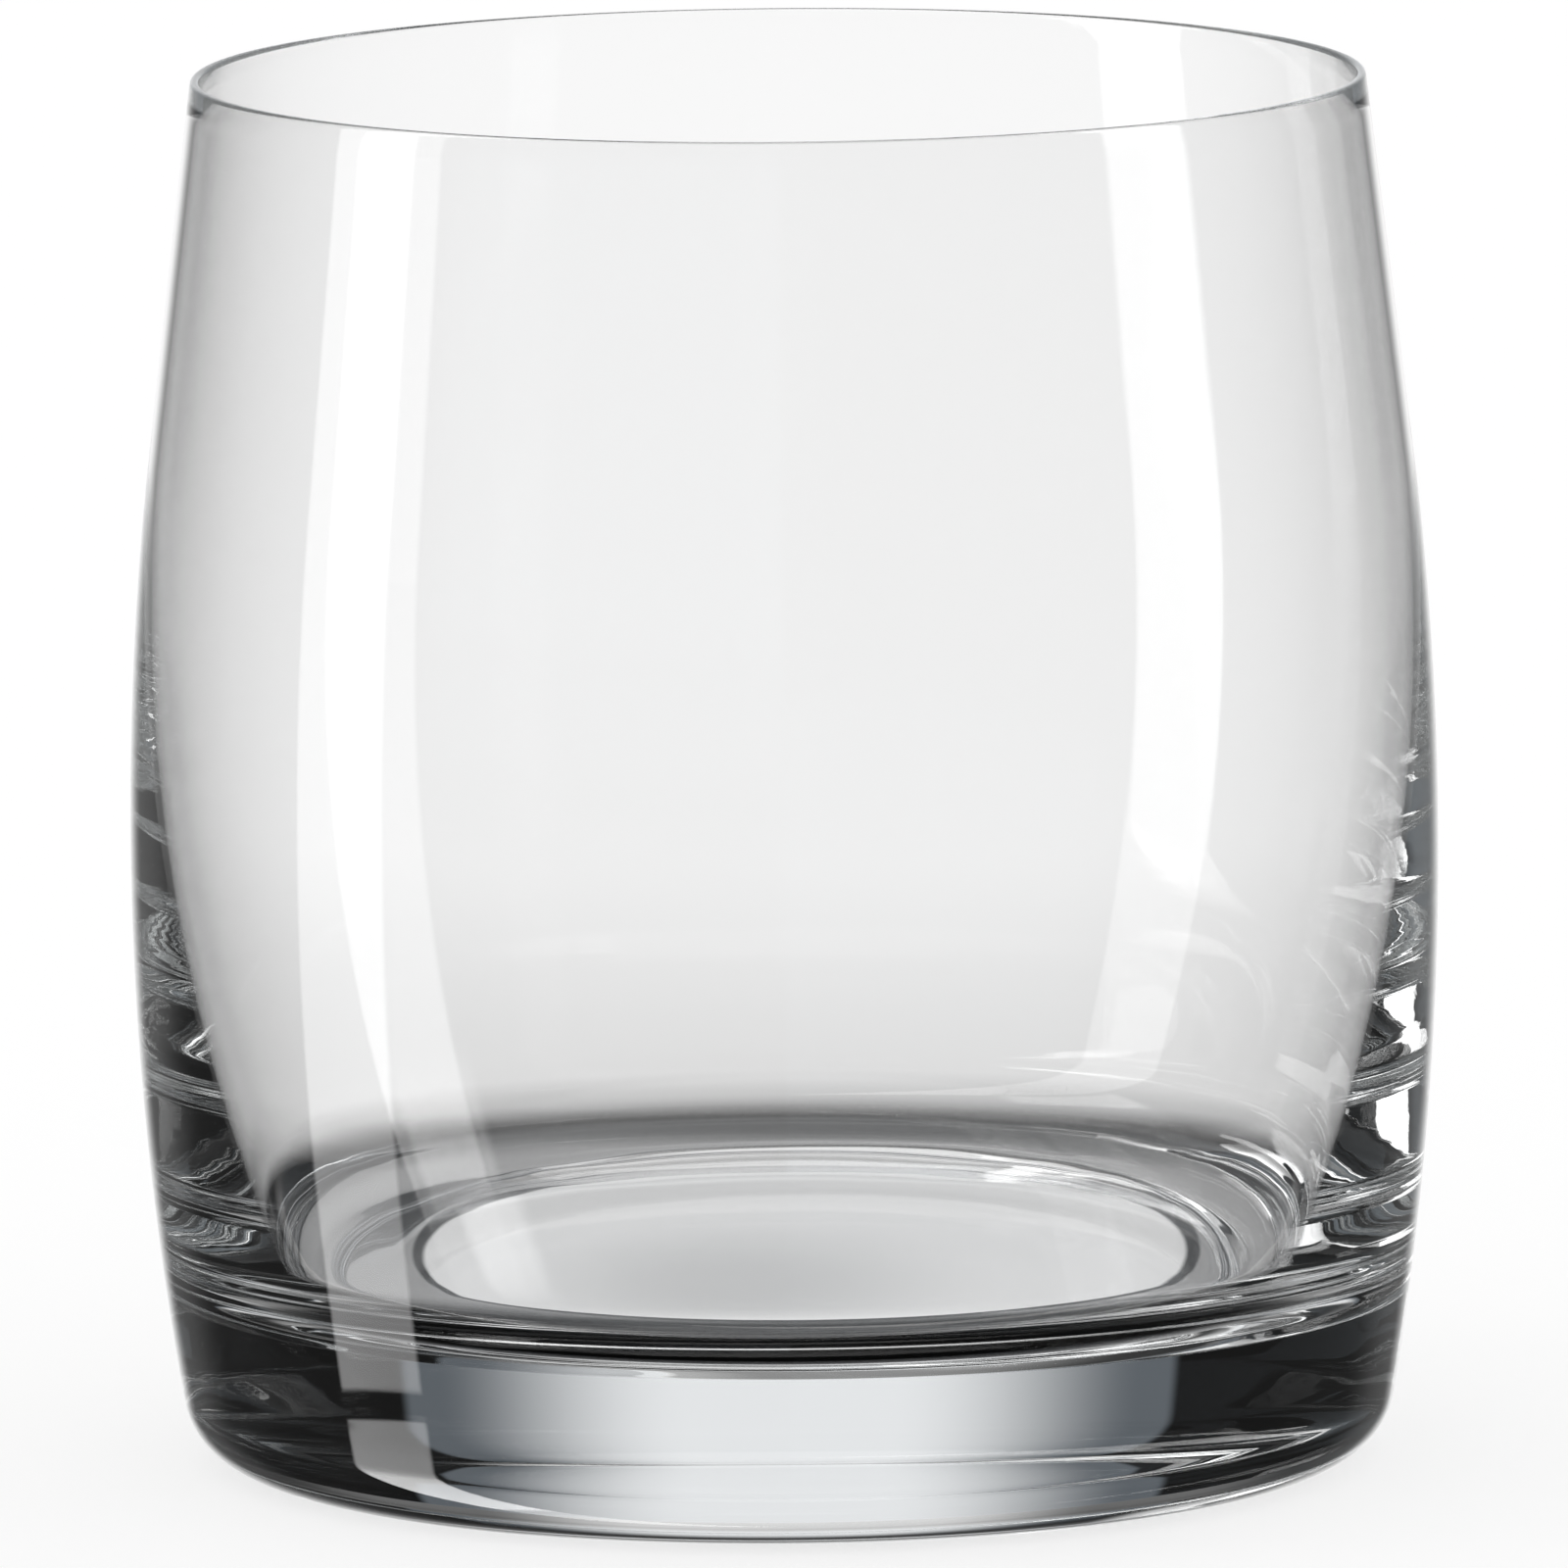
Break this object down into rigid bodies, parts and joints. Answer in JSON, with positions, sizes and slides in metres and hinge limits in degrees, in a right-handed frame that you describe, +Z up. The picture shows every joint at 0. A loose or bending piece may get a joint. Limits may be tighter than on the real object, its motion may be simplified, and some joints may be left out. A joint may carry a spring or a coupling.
{
  "type": "whiskey tumbler",
  "caption": "Clear barrel-shaped whiskey tumbler with a thin straight rim, a wall that thickens downwards and a heavy solid base, for holding a short drink.",
  "frame": {"origin": "centre of the foot, on the plane that the glass stands on", "axes": "+Z up along the axis of revolution, towards the rim"},
  "size_m": [0.08, 0.08, 0.0851],
  "materials": {
    "clear_glass": "fire-polished"
  },
  "bodies": {
    "root": {"tumbler_glass": "clear_glass"}
  },
  "joints": []
}
